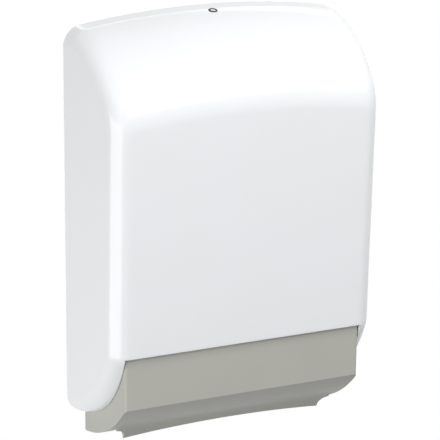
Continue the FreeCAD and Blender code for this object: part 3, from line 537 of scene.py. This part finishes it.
# a rib that follows the inside of the top and the front
def coverRib(bm, x):
    arcs = coverArcs(cover["skin"] * rib["sink"])
    old = set(bm.verts)
    turn = Matrix.Rotation(math.radians(rib["startTurn"]), 3, "X")
    vert = bm.verts.new(arcs["topCentre"] + turn @ (arcs["browStart"] - arcs["topCentre"]))
    vert = spun(bm, vert, arcs["topCentre"], arcs["browStart"], rib["topSteps"])
    vert = spun(bm, vert, arcs["browCentre"], arcs["browEnd"], rib["browSteps"])
    straight(bm, vert, arcs["cornerStart"] + arcs["along"] * rib["end"])
    made = set(bm.verts) - old
    for vert in made:
        vert.co.x = x - rib["thick"] / 2
        vert.co -= arcs["along"] * crownDrop(x)
    edges = [e for e in bm.edges if all(v in made for v in e.verts)]
    wide = bmesh.ops.extrude_edge_only(bm, edges=edges)["geom"]
    moved = [item for item in wide if isinstance(item, bmesh.types.BMVert)]
    bmesh.ops.translate(bm, verts=moved, vec=(rib["thick"], 0, 0))
    faces = [item for item in wide if isinstance(item, bmesh.types.BMFace)]
    bmesh.ops.recalc_face_normals(bm, faces=faces)
    inside = faces[0].normal.dot(arcs["along"] + Vector((0, -1, 0))) < 0
    bmesh.ops.solidify(bm, geom=faces, thickness=rib["height"] * (-1 if inside else 1))


# the boss in a leg that holds the hinge's bush
def legBoss(bm, side):
    start = cover["width"] / 2 - cover["legWidth"] + hinge["bossStart"]
    length = cover["width"] / 2 - start - hinge["bossInset"]
    spot = Matrix.Translation((side * start, -hinge["depth"], hinge["z"]))
    turned(bm, [(hinge["boreRadius"], 0), (hinge["bossRadius"], 0), (hinge["bossRadius"], length),
                (hinge["boreRadius"], length)],
           spot @ Matrix.Rotation(side * math.pi / 2, 4, "Y"), hinge["steps"])


def frontCover():
    piece = newPiece("cover_shell", coverShell(), "front_cover")
    thicken(piece, cover["skin"])
    place = lockPlace()
    bm = bmesh.new()
    low, high = -lock["padDepth"], -cover["skin"] * lock["padSink"]
    turned(bm, [(lock["holeRadius"], low), (lock["padRadius"], low), (lock["padRadius"], high),
                (lock["holeRadius"], high)], place, lock["padSteps"])
    for side in (-1, 1):
        legBoss(bm, side)
        coverRib(bm, side * rib["x"])
    bmesh.ops.recalc_face_normals(bm, faces=bm.faces)
    drill = bmesh.new()
    reach = lock["holeReach"]
    turned(drill, [(0, -reach), (lock["holeRadius"], -reach), (lock["holeRadius"], reach), (0, reach)],
           place, lock["holeSteps"])
    punch(piece, newObject("drill", drill))
    punch(piece, heelCutter())
    bm.from_mesh(piece.data)
    bm.to_mesh(piece.data)
    bm.free()
    smooth(piece, cover["sharpAngle"])


frontCover()
print("cover done")


# The other pieces keep their shape, merged so that their round faces shade smoothly
def softened(node, name, sharpAngle=32):
    bm = bmesh.new()
    bm.from_mesh(nodes[node].data)
    bmesh.ops.remove_doubles(bm, verts=bm.verts, dist=cadWeld)
    bmesh.ops.dissolve_degenerate(bm, edges=bm.edges, dist=tiny)
    smooth(newPiece(name, bm, node), sharpAngle)


dressed = {
    "outlet_chute": "chute_moulding",
    "towel_ramp": "ramp_moulding",
    "wall_plate": "back_plate",
    "side_guide_left": "guide_left",
    "side_guide_right": "guide_right",
    "lock_catch": "catch_hook",
    "lock_cam": "lock_tongue",
    "hinge_pin_left": "pin_left",
    "hinge_pin_right": "pin_right",
    "hinge_bush_left": "bush_left",
    "hinge_bush_right": "bush_right",
    "lock_housing": "lock_ring",
    "lock_barrel": "lock_core",
    "lock_washer": "washer",
    "lock_nut": "nut",
    "cam_screw": "tongue_screw",
}
for node, name in dressed.items():
    softened(node, name)
print("mouldings done:", len(dressed))

# Screws with domed heads and a cross recess
screw = {
    "radius": 0.00175,
    "point": 0.0015,
    "pointShare": 0.3,
    "headRadius": 0.0034,
    "headHeight": 0.0022,
    "dome": 0.0007,
    "rimShare": 0.7,
    "shoulderShare": 0.93,
    "domeShare": 0.6,
    "domeRise": 0.75,
    "steps": 24,
    "recessLong": 0.0036,
    "recessWide": 0.0008,
    "recessDeep": 0.0013,
    "recessTaper": 0.6,
    "recessClear": 0.001,
    "sharpAngle": 30,
}


# lowest and highest corner of each solid in a node
def solidsOf(node):
    bm = bmesh.new()
    bm.from_mesh(nodes[node].data)
    bmesh.ops.remove_doubles(bm, verts=bm.verts, dist=cadWeld)
    reached = set()
    found = []
    for start in bm.verts:
        if start in reached:
            continue
        island = set()
        waiting = {start}
        while waiting:
            vert = waiting.pop()
            island.add(vert)
            waiting |= {edge.other_vert(vert) for edge in vert.link_edges} - island
        reached |= island
        points = [vert.co for vert in island]
        found.append((Vector([min(p[axis] for p in points) for axis in range(3)]),
                      Vector([max(p[axis] for p in points) for axis in range(3)])))
    bm.free()
    return found


# one bar of the cross recess, narrower at its bottom
def recessBar(turn):
    c = screw
    bm = bmesh.new()
    bmesh.ops.create_cube(bm, size=1)
    for vert in bm.verts:
        low = vert.co.z < 0
        narrow = c["recessTaper"] if low else 1
        vert.co.x *= c["recessLong"] * narrow
        vert.co.y *= c["recessWide"] * narrow
        vert.co.z = c["headHeight"] + (-c["recessDeep"] if low else c["recessClear"])
    bmesh.ops.rotate(bm, verts=bm.verts, matrix=Matrix.Rotation(turn, 3, "Z"))
    return newObject("recess", bm)


# one screw along +z, its head's seat at z = 0
def screwShape(length):
    c = screw
    rim = c["headHeight"] - c["dome"]
    outline = [
        (0, -length),
        (c["radius"] * c["pointShare"], -length),
        (c["radius"], c["point"] - length),
        (c["radius"], 0),
        (c["headRadius"], 0),
        (c["headRadius"], rim * c["rimShare"]),
        (c["headRadius"] * c["shoulderShare"], rim),
        (c["headRadius"] * c["domeShare"], rim + c["dome"] * c["domeRise"]),
        (0, c["headHeight"]),
    ]
    bm = bmesh.new()
    turned(bm, outline, Matrix(), c["steps"])
    shape = newObject("screw", bm)
    for turn in (0, math.pi / 2):
        punch(shape, recessBar(turn))
    mesh = shape.data
    bpy.data.objects.remove(shape)
    return mesh


for node in ("chute_screws", "ramp_screws", "guide_screws", "catch_screws"):
    bm = bmesh.new()
    for low, high in solidsOf(node):
        shape = screwShape(high.y - low.y - screw["headHeight"])
        old = set(bm.verts)
        bm.from_mesh(shape)
        seat = Vector(((low.x + high.x) / 2, low.y + screw["headHeight"], (low.z + high.z) / 2))
        bmesh.ops.transform(bm, verts=[v for v in bm.verts if v not in old],
                            matrix=Matrix.Translation(seat) @ Matrix.Rotation(math.pi / 2, 4, "X"))
        bpy.data.meshes.remove(shape)
    smooth(newPiece(node.replace("screws", "fixings"), bm, node), screw["sharpAngle"])
print("screws done")

# Floor, backdrop and light
stage = {"floor": -1.6, "size": 12.0, "pale": (0.5, 0.5, 0.5, 1), "white": (1, 1, 1, 1), "ambient": 0.14}


def floor():
    bm = bmesh.new()
    bmesh.ops.create_grid(bm, x_segments=2, y_segments=2, size=stage["size"])
    bmesh.ops.translate(bm, verts=bm.verts, vec=(0, 0, stage["floor"]))
    ground = newObject("floor", bm)
    shader = newFinish("floor_white")
    diffuse = shader.node("ShaderNodeBsdfDiffuse", {"Color": stage["pale"]})
    white = shader.node("ShaderNodeEmission", {"Color": stage["white"], "Strength": 1.0})
    both = shader.node("ShaderNodeMixShader", {0: shader.seen(), 1: diffuse, 2: white})
    shader.node("ShaderNodeOutputMaterial", {"Surface": both})
    ground.data.materials.append(shader.owner)


def backdrop():
    world = bpy.data.worlds.new("studio")
    shader = Shader(world)
    strength = shader.seen() * (1 - stage["ambient"]) + stage["ambient"]
    white = shader.node("ShaderNodeBackground", {"Color": stage["white"], "Strength": strength})
    shader.node("ShaderNodeOutputWorld", {"Surface": white})
    bpy.context.scene.world = world


floor()
backdrop()
lights = {
    "overFront": {"from": (0.2, -0.9, 1.9), "to": (0, 0, 0.1), "size": (1.8, 0.6), "watts": 20},
    "high": {"from": (0.8, -1.7, 1.4), "to": (0, 0, 0.1), "size": (1.6, 1.0), "watts": 33},
    "rear": {"from": (1.1, 2.4, 1.57), "to": (0, 0, 0.17), "size": (2.4, 0.3), "watts": 4},
    "lowLeft": {"from": (-1.6, -0.5, -0.35), "to": (0, 0, -0.15), "size": (2.4, 1.2), "watts": 26},
}
for name, light in lights.items():
    lamp = bpy.data.lights.new(name, "AREA")
    lamp.shape = "RECTANGLE"
    lamp.size, lamp.size_y = light["size"]
    lamp.energy = light["watts"]
    holder = bpy.data.objects.new(name, lamp)
    holder.location = light["from"]
    aim = Vector(light["to"]) - Vector(light["from"])
    holder.rotation_euler = aim.to_track_quat("-Z", "Y").to_euler()
    bpy.context.scene.collection.objects.link(holder)

# Camera, at the photograph's angle: turns in degrees, lens and sensor in millimetres
camera = {
    "place": (-0.80906, -1.80554, 0.59993),
    "yaw": -24.662,
    "pitch": 17.71,
    "roll": 0.643,
    "lens": 178.64,
    "sensor": 36,
    "farthest": 50,
}
lens = bpy.data.cameras.new("camera")
lens.lens = camera["lens"]
lens.sensor_width = camera["sensor"]
lens.clip_end = camera["farthest"]
viewer = bpy.data.objects.new("camera", lens)
turn = (Matrix.Rotation(math.radians(camera["yaw"]), 4, "Z")
        @ Matrix.Rotation(math.radians(90 - camera["pitch"]), 4, "X")
        @ Matrix.Rotation(math.radians(camera["roll"]), 4, "Z"))
viewer.matrix_world = Matrix.Translation(camera["place"]) @ turn
bpy.context.scene.collection.objects.link(viewer)
bpy.context.scene.camera = viewer
bpy.context.scene.view_settings.view_transform = "Standard"
print("stage, lights and camera done")
